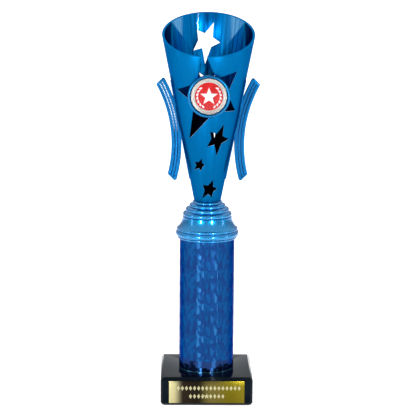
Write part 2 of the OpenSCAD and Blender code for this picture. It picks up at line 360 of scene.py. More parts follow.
def noise(tree, spot, **settings):
    """Noise over a place, or along a single reading."""
    if isinstance(spot, Reading):
        node = add_node(tree, "ShaderNodeTexNoise", noise_dimensions="1D", W=spot, **settings)
    else:
        node = add_node(tree, "ShaderNodeTexNoise", Vector=spot, **settings)
    return Reading(node.outputs["Fac"])


def ramp(tree, value, stops, smoothness="LINEAR"):
    """A colour ramp over a value; stops are (position, colour)."""
    node = add_node(tree, "ShaderNodeValToRGB", Fac=value)
    node.color_ramp.interpolation = smoothness
    elements = node.color_ramp.elements
    while len(elements) < len(stops):
        elements.new(0.5)
    for element, (position, colour) in zip(elements, stops):
        element.position = position
        element.color = (*colour, 1)
    return node.outputs["Color"]


def mix(tree, factor, a, b, blend="MIX"):
    """Mixes two colours, each a socket or a tuple."""
    node = add_node(tree, "ShaderNodeMix", data_type="RGBA", blend_type=blend)
    for index, value in ((0, factor), (6, a), (7, b)):
        feed(value, node.inputs[index])
    return node.outputs[2]


def vectors(tree, operation, first, second=(0, 0, 0), **settings):
    """A Vector Math node over two places or directions."""
    node = add_node(tree, "ShaderNodeVectorMath", operation=operation, **settings)
    feed(first, node.inputs[0])
    feed(second, node.inputs[1])
    return node.outputs[0]


def new_group(name, given, results):
    """A node group with its inputs' defaults and its outputs' names, all plain numbers."""
    tree = bpy.data.node_groups.new(name, "ShaderNodeTree")
    for label, default in given.items():
        socket = tree.interface.new_socket(label, in_out="INPUT", socket_type="NodeSocketFloat")
        socket.default_value = default
    for label in results:
        tree.interface.new_socket(label, in_out="OUTPUT", socket_type="NodeSocketFloat")
    sources = tree.nodes.new("NodeGroupInput").outputs
    return tree, [Reading(sources[label]) for label in given], tree.nodes.new("NodeGroupOutput")


def grain_group():
    """Fine metallic grain: a mask of tiny flakes in soft patches, and a bump height from them."""
    tree, (scale, patchiness), out = new_group(
        "metallic_grain", {"Scale": 1500.0, "Patchiness": 0.5}, ("Flakes", "Height"))
    spot = object_spot(tree)
    fine = noise(tree, spot, Scale=scale, Detail=3.0, Roughness=0.7)
    patches = noise(tree, spot, Scale=45.0, Detail=2.0)
    flakes = clamped((fine - 0.52) * 7.0)
    patch = clamped((patches - 0.42) * 4.0)
    wire(out, Flakes=flakes * (patch * patchiness + (1.0 - patchiness)), Height=fine)
    return tree


def marks_group():
    """Soft handling marks: a mask of smudges and hairline rubs that lifts roughness."""
    tree, (scale, amount), out = new_group("handling_marks", {"Scale": 60.0, "Amount": 0.1}, ("Marks",))
    cloud = noise(tree, object_spot(tree), Scale=scale, Detail=5.0, Roughness=0.6, Distortion=0.4)
    rubs = noise(tree, stretched(tree, 1.0, 1.0, 0.06), Scale=900.0, Detail=2.0)
    wire(out, Marks=cloud * rubs * amount)
    return tree


GRAIN = grain_group()
MARKS = marks_group()
EDGE_TINT = (0.3, 0.48, 0.7)


def use_group(tree, group, **values):
    node = tree.nodes.new("ShaderNodeGroup")
    node.node_tree = group
    wire(node, **values)
    return [Reading(socket) for socket in node.outputs]


def metallic_grain(tree, scale, patchiness):
    """The flakes and the height of the metallic grain."""
    return use_group(tree, GRAIN, Scale=scale, Patchiness=patchiness)


def handling_marks(tree, scale, amount):
    """The mask of smudges and rubs."""
    return use_group(tree, MARKS, Scale=scale, Amount=amount)[0]


def finish(name, **constants):
    """A new Principled finish; constants go straight on the shader's sockets."""
    material = bpy.data.materials.new(name)
    material.use_nodes = True
    shader = material.node_tree.nodes["Principled BSDF"]
    wire(shader, **constants)
    return material, material.node_tree, shader


def bump(tree, shader, height, strength, deep=0.2 * MM):
    node = add_node(tree, "ShaderNodeBump", Strength=strength, Distance=deep, Height=height)
    wire(shader, Normal=node.outputs["Normal"])


def roughened(tree, shader, base, scale, amount):
    """Roughness that handling marks lift from a base value."""
    wire(shader, Roughness=handling_marks(tree, scale, amount) + base)


def holder_blue():
    """Blue lacquer over a metallised surface, with fine grain in soft patches."""
    material, tree, shader = finish("holder_lacquer", Metallic=1.0, Coat_Weight=0.2, Coat_Roughness=0.03,
                                    Specular_Tint=EDGE_TINT)
    flakes, height = metallic_grain(tree, 1500.0, 0.8)
    wire(shader, Base_Color=mix(tree, flakes * 0.35, (0.002, 0.12, 0.3), (0.01, 0.2, 0.42)))
    roughened(tree, shader, 0.22, 55.0, 0.25)
    bump(tree, shader, height, 0.12)
    return material


def painted_shade_and_reflections(tree, x, y, z, up):
    """Colours inside the cup, painted shade and painted reflections: darker low down and at the sides,
    streaked, with a lit fan at the back.
    """
    aside, at_back = abs(x), y > 0.0
    # Painted shade: near black deep inside the cup, blue higher up.
    painted_shade_by_height = ramp(tree, up, [
        (0.0, (0.0006, 0.001, 0.006)), (0.42, (0.0006, 0.002, 0.014)), (0.54, (0.008, 0.018, 0.075)),
        (0.64, (0.0, 0.13, 0.34)), (0.7, (0.0, 0.16, 0.38)), (0.9, (0.0, 0.16, 0.4))])
    # Painted reflections: darker and paler bands towards the sides.
    reflection_by_side = ramp(tree, aside / (34 * MM), [
        (0.0, (1, 1, 1)), (0.45, (0.75, 0.8, 1)), (0.6, (0.5, 0.55, 0.85)), (0.72, (0.8, 0.8, 1)),
        (0.76, (1, 1.6, 1.4)), (0.79, (0.3, 0.2, 0.3)), (0.9, (0.2, 0.15, 0.2)), (0.96, (0.8, 0.8, 0.8))])
    # Painted reflections: dark streaks running up and down the inside.
    reflected_streaks = ramp(tree, noise(tree, around(y, x) * 9.0, Scale=1.0, Detail=3.0, Roughness=0.7),
                   [(0.4, (0.35, 0.35, 0.4)), (0.5, (0.9, 0.9, 0.9)), (0.6, (1, 1, 1))])
    shown = mix(tree, 1.0, mix(tree, 1.0, painted_shade_by_height, reflection_by_side, "MULTIPLY"), reflected_streaks, "MULTIPLY")
    # Painted reflection: a lit fan opening upwards on the back wall.
    in_reflected_fan = clamped(((z - REFLECTED_FAN_FOOT_Z) * 0.72 - aside) * 900.0) * at_back
    reflected_fan_colour = ramp(tree, x * 14.0 + 0.5, [
        (0.22, (0.1, 0.34, 0.62)), (0.25, (0.0, 0.14, 0.4)), (0.44, (0.0, 0.15, 0.42)),
        (0.47, (0.0, 0.09, 0.3)), (0.61, (0.0, 0.1, 0.31)), (0.64, (0.0, 0.15, 0.42)),
        (0.72, (0.01, 0.17, 0.44)), (0.75, (0.1, 0.34, 0.62)), (0.82, (0.07, 0.28, 0.56))])
    shown = mix(tree, in_reflected_fan, shown, mix(tree, 0.6, reflected_fan_colour, reflected_streaks, "MULTIPLY"))
    # A dark upright line down the middle of the back.
    seam = (aside < 0.3 * MM) * at_back
    shown = mix(tree, seam * 0.8, shown, (0.0, 0.012, 0.07))
    # Painted glint: a thin, wavering pale streak high on the back wall.
    drift = noise(tree, z, Scale=260.0, Detail=2.0) * (2 * MM)
    glint = (abs(x + 6.2 * MM + drift) < 0.22 * MM) * at_back * (z > GLINT_FOOT_Z)
    shown = mix(tree, glint * 0.7, shown, (0.45, 0.7, 0.9))
    return mix(tree, up > 0.6, painted_shade_by_height, shown)


def cup_finish():
    """Satin blue outside with painted shade towards the foot, bare and pale where the stars are cut as a
    painted highlight, and a mirror inside with painted shade and painted reflections.
    """
    material, tree, shader = finish("cup_lacquer", Metallic=1.0, Specular_Tint=EDGE_TINT)
    x, y, z = axes(tree)
    up = (z - CUP_Z) / CUP_TALL
    depth = z * CUP_SLOPE + (CUP_FOOT_R - CUP_SLOPE * CUP_Z) - distance(x, y)
    inner = 0.85 * CUP_WALL
    inside = clamped((depth - inner) * 8000.0)

    flakes, height = metallic_grain(tree, 1500.0, 0.85)
    outside_colour = mix(tree, flakes * 0.4, (0.0005, 0.1, 0.268), (0.005, 0.21, 0.43))
    # Painted shade: the outside darker towards the foot.
    low_down = ramp(tree, up, [(0.0, (0.78, 0.78, 0.8)), (0.5, (0.9, 0.9, 0.92)), (0.8, (0.98, 0.96, 0.97))])
    shaded = mix(tree, 1.0, outside_colour, low_down, "MULTIPLY")

    cut_edge = (depth > 0.06 * CUP_WALL) * (depth < inner) * (z > CUP_Z + 5 * MM)
    on_rim = y * tan(RIM_SLANT) + RIM_MID - z < MM
    bare = cut_edge * (1.0 - on_rim)
    # Painted highlight: the stars' cut walls are painted pale, and the sawn rim stays plain blue.
    cut_highlight_and_rim_colour = mix(tree, on_rim, (0.3, 0.52, 0.75), (0.004, 0.16, 0.42))
    shell = mix(tree, cut_edge, shaded, cut_highlight_and_rim_colour)

    rough = handling_marks(tree, 55.0, 0.25) + 0.3
    wire(shader, Base_Color=mix(tree, inside, shell, painted_shade_and_reflections(tree, x, y, z, up)),
         Metallic=1.0 - bare * 0.8, Roughness=clamped(rough - inside * 0.02))
    ripples = noise(tree, around(y, x) * 14.0, Scale=1.0, Detail=2.0) * inside * 5.0
    bump(tree, shader, height + ripples, 0.1)
    return material


def pearl_blue():
    """Brighter pearl lacquer of the riser, with sparkle in it."""
    material, tree, shader = finish("pearl_lacquer", Metallic=1.0, Coat_Weight=0.8, Coat_Roughness=0.0,
                                    Specular_Tint=EDGE_TINT)
    flakes, height = metallic_grain(tree, 1100.0, 0.4)
    wire(shader, Base_Color=mix(tree, flakes * 0.6, (0.0, 0.175, 0.42), (0.002, 0.36, 0.66)))
    roughened(tree, shader, 0.22, 80.0, 0.2)
    bump(tree, shader, height, 0.3)
    return material


def handle_finish():
    """Metallised blue with two fine lines and slanting hatching in the blade's channel; the lines carry
    painted highlight dots on the left handle's upper half.
    """
    material, tree, shader = finish("handle_lacquer", Metallic=1.0, Coat_Weight=0.1, Coat_Roughness=0.1,
                                    Specular_Tint=(0.1, 0.22, 0.45))
    x, y, z = axes(tree)
    hatch_pitch, dot_pitch = 0.9 * MM, 1.1 * MM
    along = z - WAIST_Z
    reach = distance(ARC_X - abs(x), along)
    off_middle = abs((reach - BLADE_R) / BLADE_W - 0.5)
    in_channel = (off_middle < 0.32) * (abs(y) < BLADE_HALF - 0.4 * MM)
    lines = clamped(1.4 - abs(off_middle - 0.14) * 20.0) * in_channel
    hatched = wave((along + reach * 0.9) * (2 * pi / hatch_pitch)) * 0.3
    flakes, _ = metallic_grain(tree, 1500.0, 0.6)
    plain = mix(tree, flakes * 0.35, (0.0, 0.095, 0.26), (0.01, 0.19, 0.44))
    worked = mix(tree, clamped(in_channel * (hatched + 0.3)), plain, (0.002, 0.06, 0.2))
    # Painted highlight: pale dots along the lines, only on the left handle's upper half.
    dots = wave(along * (2 * pi / dot_pitch)) > -0.2
    painted_highlight_dots = dots * (x < 0.0) * clamped((along - 8 * MM) * 70.0)
    line_colour_and_highlight = mix(tree, painted_highlight_dots, (0.001, 0.01, 0.045), (0.5, 0.65, 0.75))
    wire(shader, Base_Color=mix(tree, lines, worked, line_colour_and_highlight))
    roughened(tree, shader, 0.27, 55.0, 0.25)
    bump(tree, shader, hatched * in_channel - lines, 0.6)
    return material


def prism_foil():
    """Shattered prism film: slightly tilted shards of deep blue, with painted highlights in two upright bands
    and a painted dark reflection of the marble block along the column's foot.
    """
    material, tree, shader = finish("prism_foil", Metallic=1.0, Roughness=0.13,
                                    Specular_Tint=(0.42, 0.42, 0.6))
    x, y, z = axes(tree)
    repeat = 24 * MM
    unrolled = add_node(tree, "ShaderNodeCombineXYZ", X=around(y, x) * COLUMN_R, Y=z % repeat)
    layers = []
    for slant, scale in ((0.6, 270.0), (-0.75, 340.0)):
        slanted = add_node(tree, "ShaderNodeMapping", Vector=unrolled.outputs[0], Rotation=(0, 0, slant),
                           Scale=(1.6, 0.8, 1))
        shards = add_node(tree, "ShaderNodeTexVoronoi", voronoi_dimensions="2D", Scale=scale,
                          Randomness=1.0, Vector=slanted.outputs[0])
        layers.append(shards.outputs["Color"])
    overlaid = mix(tree, 0.5, *layers)
    picks = add_node(tree, "ShaderNodeSeparateColor", Color=overlaid).outputs
    shade = ramp(tree, picks[0], [(0.0, (0.007, 0.03, 0.125)), (0.36, (0.006, 0.038, 0.145)),
                                  (0.5, (0.005, 0.043, 0.158)), (0.66, (0.005, 0.055, 0.185))], "CONSTANT")
    # Painted highlights: brighter shards in upright bands 5 mm either side of the middle.
    bright = ramp(tree, picks[1], [(0.0, (0.007, 0.036, 0.145)), (0.42, (0.006, 0.045, 0.165)),
                                   (0.58, (0.009, 0.072, 0.22)), (0.68, (0.018, 0.11, 0.3))], "CONSTANT")
    off_band = abs(abs(x) - 5 * MM)
    banded = mix(tree, off_band < 2.6 * MM, shade, bright)
    # Painted reflection: the dark marble block seen along the column's foot, paler in the highlight bands.
    in_block_reflection = z < BLOCK_TOP + 8.2 * MM
    block_reflection_colour = mix(tree, off_band < 1.3 * MM, (0.012, 0.028, 0.1), (0.02, 0.09, 0.28))
    shown = mix(tree, in_block_reflection * 0.85, banded, block_reflection_colour)
    cut_end = z < BLOCK_TOP + 0.3 * MM

    tilt = vectors(tree, "SCALE", vectors(tree, "SUBTRACT", overlaid, (0.5, 0.5, 0.5)), Scale=0.18)
    upright = add_node(tree, "ShaderNodeNewGeometry").outputs["Normal"]
    wire(shader, Base_Color=mix(tree, cut_end, shown, (0.1, 0.35, 0.5)),
         Normal=vectors(tree, "NORMALIZE", vectors(tree, "ADD", upright, tilt)))
    return material


def marble():
    """Polished black marble with faint grey clouds and fine pale veins."""
    material, tree, shader = finish("black_marble", IOR=1.17, Specular_Tint=(0.5, 0.78, 1.0))
    spot = object_spot(tree)
    clouds = noise(tree, spot, Scale=38.0, Detail=6.0, Roughness=0.6, Distortion=0.8)
    body = ramp(tree, clouds, [(0.35, (0.0002, 0.0008, 0.002)), (0.55, (0.0008, 0.002, 0.004)),
                               (0.75, (0.004, 0.006, 0.009))])
    bend = noise(tree, spot, Scale=26.0, Detail=4.0, Distortion=1.5)
    veins = clamped(1.0 - abs(bend - 0.5) * 90.0)
    broken = clamped((noise(tree, spot, Scale=70.0, Detail=3.0) - 0.5) * 5.0)
    wire(shader, Base_Color=mix(tree, veins * broken * 0.35, body, (0.15, 0.16, 0.18)))
    roughened(tree, shader, 0.05, 90.0, 0.12)
    return material


def plate_gold():
    """Shaded gold plate: a printed sweep of pale, brown, olive and gold across it, which is also a painted
    reflection, finely brushed.
    """
    material, tree, shader = finish("shaded_gold", Metallic=0.9)
    across = axes(tree)[0] / (2 * PLATE_HALF) + 0.5
    # Printed sweep that also stands in for a painted reflection across the plate.
    colour = ramp(tree, across, [
        (0.0, (0.48, 0.45, 0.23)), (0.04, (0.43, 0.39, 0.2)), (0.19, (0.01, 0.005, 0.003)),
        (0.38, (0.005, 0.003, 0.001)), (0.55, (0.105, 0.083, 0.018)),
        (0.8, (0.11, 0.086, 0.0005)), (1.0, (0.14, 0.11, 0.003))], "EASE")
    brushed = noise(tree, stretched(tree, 60, 60, 5000), Scale=1.0, Detail=3.0)
    wire(shader, Base_Color=mix(tree, brushed * 0.015, colour, (0.6, 0.5, 0.2)),
         Roughness=brushed * 0.15 + 0.15)
    bump(tree, shader, brushed, 0.1, 0.05 * MM)
    return material


def felt():
    """Short black felt with lint in it."""
    material, tree, shader = finish("black_felt", Roughness=0.95, Sheen_Weight=0.4, Sheen_Roughness=0.5)
    fibres = noise(tree, object_spot(tree), Scale=1600.0, Detail=4.0, Roughness=0.8, Distortion=2.0)
    wire(shader, Base_Color=ramp(tree, fibres, [(0.35, (0.006, 0.006, 0.008)), (0.62, (0.03, 0.03, 0.036)),
                                                (0.74, (0.12, 0.12, 0.13))]))
    bump(tree, shader, fibres, 0.8, 0.6 * MM)
    return material


def plated_steel():
    """Zinc-plated steel with a faint spangle."""
    material, tree, shader = finish("plated_steel", Metallic=1.0)
    spangle = noise(tree, object_spot(tree), Scale=420.0, Detail=4.0)
    wire(shader, Base_Color=ramp(tree, spangle, [(0.3, (0.42, 0.42, 0.4)), (0.7, (0.72, 0.72, 0.7))]))
    roughened(tree, shader, 0.28, 120.0, 0.3)
    bump(tree, shader, spangle, 0.1, 0.8 * MM)
    return material


def moulded(name, colour, rough):
    """Plain moulded plastic with a faint grain."""
    material, tree, shader = finish(name)
    texture = noise(tree, object_spot(tree), Scale=700.0, Detail=3.0)
    light = tuple(min(1, c * 1.4 + 0.01) for c in colour)
    wire(shader, Base_Color=mix(tree, texture, colour, light))
    roughened(tree, shader, rough, 60.0, 0.2)
    bump(tree, shader, texture, 0.15)
    return material


def bright_backing():
    """Warm silver foil with a fine spun grain."""
    material, tree, shader = finish("bright_backing", Metallic=0.9)
    x, _, z = axes(tree)
    spun = noise(tree, distance(x, z - CENTRE_Z), Scale=9000.0)
    wire(shader, Base_Color=ramp(tree, spun, [(0.35, (0.375, 0.36, 0.335)), (0.65, (0.4, 0.385, 0.36))]),
         Roughness=spun * 0.2 + 0.25)
    return material


def printed(name, colour, dots):
    """Printed card: flat ink with the faint dots of the press."""
    material, tree, shader = finish(name, Roughness=0.45, Specular_IOR_Level=0.1)
    press = add_node(tree, "ShaderNodeTexVoronoi", Vector=object_spot(tree), Scale=3500.0)
    shade = tuple(c * 0.6 for c in colour)
    wire(shader, Base_Color=mix(tree, Reading(press.outputs["Distance"]) * dots, colour, shade))
    return material


def clear_resin():
    return finish("clear_resin", Base_Color=(1, 1, 1), Roughness=0.03, Transmission_Weight=1.0, IOR=1.3)[0]


# ---------------------------------------------------------------- base

RECESS_R = 13 * MM
ROD_R = 3 * MM
ROD_HOLE_R = 3.3 * MM
RECESS_TOP = span("penny_washer", 2)[1]
CORNER_CHAMFER = 2 * MM
FOOT_CHAMFER = 0.8 * MM
INK = 0.03 * MM


def block(name, low, high):
    """A box between two corners."""
    clear_selection()
    bpy.ops.mesh.primitive_cube_add(size=1)
    obj = named(name)
    obj.scale = [b - a for a, b in zip(low, high)]
    obj.location = [(a + b) / 2 for a, b in zip(low, high)]
    settle(obj)
    return obj


def chamfer(obj, z, offset):
    """Cuts a flat chamfer along the edges at a height."""
    edit(obj, "EDGE")
    pick(obj, "EDGE", lambda line: all(abs(corner.co.z - z) < MM / 10 for corner in line.verts))
    bpy.ops.mesh.bevel(offset=offset, offset_type="OFFSET", segments=1, affect="EDGES")
    close_edit()


def chop(obj, point, normal):
    """Saws off what lies beyond a plane and closes the cut."""
    edit(obj, "FACE")
    bpy.ops.mesh.select_all(action="SELECT")
    bpy.ops.mesh.bisect(plane_co=point, plane_no=normal, use_fill=True, clear_outer=True)
    close_edit()


def cut(obj, cutter, operation="DIFFERENCE"):
    """Boolean with a cutter, which is then thrown away."""
    apply_modifier(obj, "BOOLEAN", operation=operation, object=cutter, solver="EXACT")
    bpy.data.objects.remove(cutter)


def post(name, radius, low, top):
    return turned(name, [(radius, low), (radius, top)])


def saw_corners(obj, half_x, half_y):
    """Takes the four upright corners off a block."""
    for side_x in (-1, 1):
        for side_y in (-1, 1):
            chop(obj, (side_x * half_x, side_y * (half_y - CORNER_CHAMFER), 0), (side_x, side_y, 0))


def base_block(material):
    half_y = span("base_block", 1)[1]
    obj = block("marble_block", (-BLOCK_HALF, -half_y, BLOCK_LOW), (BLOCK_HALF, half_y, BLOCK_TOP))
    chamfer(obj, BLOCK_TOP, CORNER_CHAMFER)
    chamfer(obj, BLOCK_LOW, FOOT_CHAMFER)
    saw_corners(obj, BLOCK_HALF, half_y)
    cut(obj, post("recess", RECESS_R, -MM, RECESS_TOP))
    cut(obj, post("rod_hole", ROD_HOLE_R, 0, BLOCK_TOP + MM))
    round_edges(obj, 0.22 * MM, segments=2)
    smooth(obj)
    return place(obj, material, "marble", "base_block")


def felt_pad(material):
    low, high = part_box("felt_pad")
    obj = block("felt_sheet", low, high)
    saw_corners(obj, high.x, high.y)
    cut(obj, post("felt_hole", RECESS_R, low.z - MM, high.z + MM))
    round_edges(obj, 0.15 * MM, segments=2)
    smooth(obj)
    return place(obj, material, "felt", "felt_pad")


def star_points(z, reach, waist):
    """Outline of a regular five-armed star about a height, one arm up."""
    turn = [radians(90 + 36 * k) for k in range(10)]
    return [(r * cos(a), z + r * sin(a)) for a, r in zip(turn, (reach, waist) * 5)]


def copy_of(obj, name, x=0, z=0):
    take(obj)
    bpy.ops.object.duplicate()
    return move_mesh(named(name), x, 0, z)


def engraving_plate(material, ink):
    """The plate with trimmed edges, and an ornament of a star between lozenges inlaid in it."""
    low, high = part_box("engraving_plate")
    face = low.y + INK
    plate = block("name_plate", (low.x, face, low.z), high)
    round_edges(plate, 0.12 * MM, segments=2)
    smooth(plate)
    place(plate, material, "plate", "engraving_plate")

    upper, lower = PLATE_MID + 2.9 * MM, PLATE_MID - 3.1 * MM
    half_wide, half_tall, pitch = 1.1 * MM, 1.8 * MM, 2.9 * MM
    lozenge = outline("lozenge", [(-half_wide, upper), (0, upper - half_tall),
                                  (half_wide, upper), (0, upper + half_tall)], INK)
    marks = [lozenge]
    for reach, drop in ((8, 0), (4, lower - upper)):
        marks += [copy_of(lozenge, "lozenge_copy", k * pitch, drop) for k in range(-reach, reach + 1) if k]
    marks.append(outline("star", star_points(lower, 2.2 * MM, 0.9 * MM), INK))
    ornament = joined("plate_ornament", marks)
    move_mesh(ornament, y=face)
    place(ornament, ink, "plate", "engraving_plate")


def tie_rod(material):
    """Threaded rod with a lead at both ends."""
    low, top = span("tie_rod", 2)
    pitch, root, lead = 1 * MM, 2.5 * MM, 0.5 * MM
    turns = int((top - low - 2 * lead) / pitch)
    profile = [(root, low)]
    for k in range(turns):
        crest = low + lead + k * pitch
        profile += [(ROD_R, crest), (root, crest + pitch / 2)]
    profile += [(ROD_R, top - lead), (root, top)]
    obj = turned("threaded_rod", profile, round_steps=32)
    smooth(obj, 20)
    return place(obj, material, "plated_steel", "tie_rod")


def hexagon(name, corner_r, low, top):
    """An upright hexagonal bar with two corners on the X axis."""
    clear_selection()
    bpy.ops.mesh.primitive_cylinder_add(vertices=6, radius=corner_r, depth=top - low,
                                        location=(0, 0, (low + top) / 2), rotation=(0, 0, radians(30)))
    obj = named(name)
    settle(obj)
    return obj


def nut(node, material):
    """Hexagon nut with chamfered corners."""
    low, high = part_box(node)
    obj = hexagon(node + "_hexagon", high.x, low.z, high.z)
    flat, lead, clear = high.y, 0.4 * MM, high.x + 0.1 * MM
    cut(obj, turned("lead", [(flat, low.z), (clear, low.z + lead), (clear, high.z - lead), (flat, high.z)],
                    round_steps=96), "INTERSECT")
    cut(obj, post("bore", ROD_R, low.z - MM, high.z + MM))
    smooth(obj)
    return place(obj, material, "plated_steel", node)


def penny_washer(material):
    low, top = span("penny_washer", 2)
    rim, edge = span("penny_washer", 0)[1], 0.2 * MM
    obj = turned("wide_washer", [(ROD_HOLE_R, low), (rim - edge, low), (rim, low + edge), (rim, top - edge),
                                 (rim - edge, top), (ROD_HOLE_R, top), (ROD_HOLE_R, low)], ring=True)
    smooth(obj)
    return place(obj, material, "plated_steel", "penny_washer")


# ---------------------------------------------------------------- column and riser

def foil_sleeve(material):
    """Foil around the tube, its two edges lapped in a seam down the back."""
    low, top = span("foil_sleeve", 2)
    inner, lap, half_lap = COLUMN_R - 0.2 * MM, 0.12 * MM, 2.5 * MM
    outer = COLUMN_R - lap
    obj = turned("foil_wrap", [(inner, low), (outer, low), (outer, top), (inner, top), (inner, low)],
                 ring=True)
    edit(obj, "FACE")
    pick(obj, "FACE", lambda face: face.normal.y > 0.5 and abs(face.calc_center_median().x) < half_lap)
    bpy.ops.mesh.extrude_region_shrink_fatten(TRANSFORM_OT_shrink_fatten={"value": lap})
    close_edit()
    smooth(obj)
    return place(obj, material, "foil", "foil_sleeve")


def riser(material):
    """Turned riser, in mm: lip and roll around the column, a cove, and four beads up to the cup."""
    shape = [(20.15, 0), (20.8, 0)]
    shape += arc(20.8, 0.75, 0.75, -90, 60, 6)
    shape += arc(20.4, 3.6, 2.4, -60, 62, 14)
    shape += arc(20.9, 6.75, 1.15, -45, 70, 8)
    shape += arc(31.2, 17, 13.6, 221.4, 186, 14)
    shape += arc(15.9, 17.3, 1.8, -50, 60, 10)
    shape += arc(14.1, 20.6, 1.65, -35, 65, 10)
    shape += arc(11.6, 23.5, 1.5, -30, 65, 9)
    shape += arc(9.9, 25.9, 0.95, -30, 80, 8)
    shape += [(9.9, 27), (7.65, 27), (7.65, 20.85), (3.3, 20.85), (3.3, 18), (14, 18), (18.3, 7),
              (18.3, 5.2), (20.15, 5.2), (20.15, 0)]
    obj = turned("turned_riser", [(r * MM, RISER_LOW + z * MM) for r, z in shape], ring=True)
    smooth(obj, 30)
    return place(obj, material, "riser_blue", "riser")


# ---------------------------------------------------------------- cup and handles

# Stars through the cup: x, height above the foot, waist radius, and the bearing and reach of each arm
FRONT_STARS = [
    (0.6, 79.8, 12.6, [(-113, 35.8), (-35, 22.4), (40, 25.3), (99, 35.5), (174, 23.2)]),
    (6.4, 47.1, 4.4, [(-144, 9.2), (-92, 12.2), (-4, 8.5), (67, 12), (131, 8)]),
    (-5.9, 28, 2.4, [(-132, 5.8), (-77, 4.4), (5, 3.7), (74, 5.3), (147, 4.3)]),
    (1.1, 9.8, 3.4, [(-127, 8.3), (-73, 6.1), (7, 5.9), (70, 8), (142, 5.9)])]
BACK_STARS = [
    (-1.4, 111.4, 5.6, [(-144, 11.2), (-92, 16.2), (-5, 10.3), (67, 14.4), (129, 10.1)]),
    (1.7, 79.6, 4.4, [(-140, 9.5), (-85, 13), (-8, 9), (62, 10), (130, 12.5)]),
    (4.4, 56.5, 3, [(-140, 8), (-87, 14), (-5, 7), (60, 9), (135, 7)]),
    (-4.2, 35.5, 1.9, [(-135, 4), (-80, 4.2), (0, 3.4), (70, 4), (140, 3.6)]),
    (1.5, 18.5, 1.9, [(-130, 4), (-75, 3.8), (5, 3.6), (72, 4), (144, 3.6)])]
RIM_SLANT = radians(21)
RIM_MID = CUP_Z + 118.4 * MM
FLOOR_Z = CUP_Z + 4 * MM
SPIGOT_LOW = span("cup", 2)[0]
NUT_LOW = span("cup_nut", 2)[0]
POCKET_R = 5.95 * MM
CUP_STEPS = 256
CUP_TALL = 132 * MM
# Feet of the painted reflected fan and of the painted glint inside the cup.
REFLECTED_FAN_FOOT_Z = CUP_Z + 89.2 * MM
GLINT_FOOT_Z = CUP_Z + 114.5 * MM


def hand_cut_star(x, height, waist, arms):
    """Outline of a star with uneven arms; each notch lies midway between two arms."""
    points = []
    for (bearing, reach), (after, _) in zip(arms, arms[1:] + [(arms[0][0] + 360, 0)]):
        for turn, r in ((bearing, reach), ((bearing + after) / 2, waist)):
            points.append(((x + r * cos(radians(turn))) * MM, CUP_Z + (height + r * sin(radians(turn))) * MM))
    return points


def cup_cone(name):
    """The cup's outer cone as a solid, which seats what is fixed to its side."""
    return turned(name, [(cup_r(CUP_Z), CUP_Z), (cup_r(CUP_TOP), CUP_TOP)], round_steps=CUP_STEPS)


def cup(material):
    """Tapered cup with its rim sawn on the slant and the stars cut through its wall."""
    wall = CUP_WALL * sqrt(1 + CUP_SLOPE ** 2)
    top = CUP_TOP + 5 * MM
    spigot = 7.42 * MM
    shape = [(ROD_HOLE_R, SPIGOT_LOW), (spigot, SPIGOT_LOW), (spigot, CUP_Z), (CUP_FOOT_R, CUP_Z),
             (cup_r(top), top), (cup_r(top) - wall, top), (cup_r(FLOOR_Z) - wall, FLOOR_Z),
             (ROD_HOLE_R, FLOOR_Z), (ROD_HOLE_R, SPIGOT_LOW)]
    obj = turned("star_cup", shape, ring=True, round_steps=CUP_STEPS)
    chop(obj, (0, 0, RIM_MID), (0, -sin(RIM_SLANT), cos(RIM_SLANT)))
    depth = 1.2 * CUP_BACK
    cutters = [outline("front_star", hand_cut_star(*star), depth) for star in FRONT_STARS]
    cutters += [move_mesh(outline("back_star", hand_cut_star(*star), depth), y=depth) for star in BACK_STARS]
    cut(obj, joined("star_cutters", cutters))
    cut(obj, hexagon("nut_pocket", POCKET_R, NUT_LOW, NUT_LOW + 12 * MM))
    round_edges(obj, 0.25 * MM, segments=2, angle=40)
    smooth(obj, 30)
    return place(obj, material, "cup_blue", "cup")


# The blades' ends: slope of the saw cut, how far it moves in with a trim, and each end's reach
END_SLOPE = 1.2
END_TRIM = 1.6
BLADE_UP = 43 * MM
BLADE_DOWN = 21.5 * MM
TIP_R = 2 * MM


def round_tip(obj, side, end_x, far, arc_r, tip_r):
    """Saws the corner nearest the cup off a blade's end in three facets around a small radius."""
    lean = sqrt(1 + END_SLOPE ** 2)
    low, high = 0.0, 0.8
    for _ in range(40):
        turn = (low + high) / 2
        x, rise = ARC_X - (arc_r - tip_r) * cos(turn), (arc_r - tip_r) * sin(turn)
        if END_SLOPE * (x - end_x) + rise - far + tip_r * lean > 0:
            high = turn
        else:
            low = turn
    flank = Vector((-cos(turn), 0, side * sin(turn)))
    end = Vector((END_SLOPE / lean, 0, side / lean))
    for share in (0.25, 0.5, 0.75):
        normal = flank.slerp(end, share)
        chop(obj, Vector((x, 0, WAIST_Z + side * rise)) + tip_r * normal, normal)


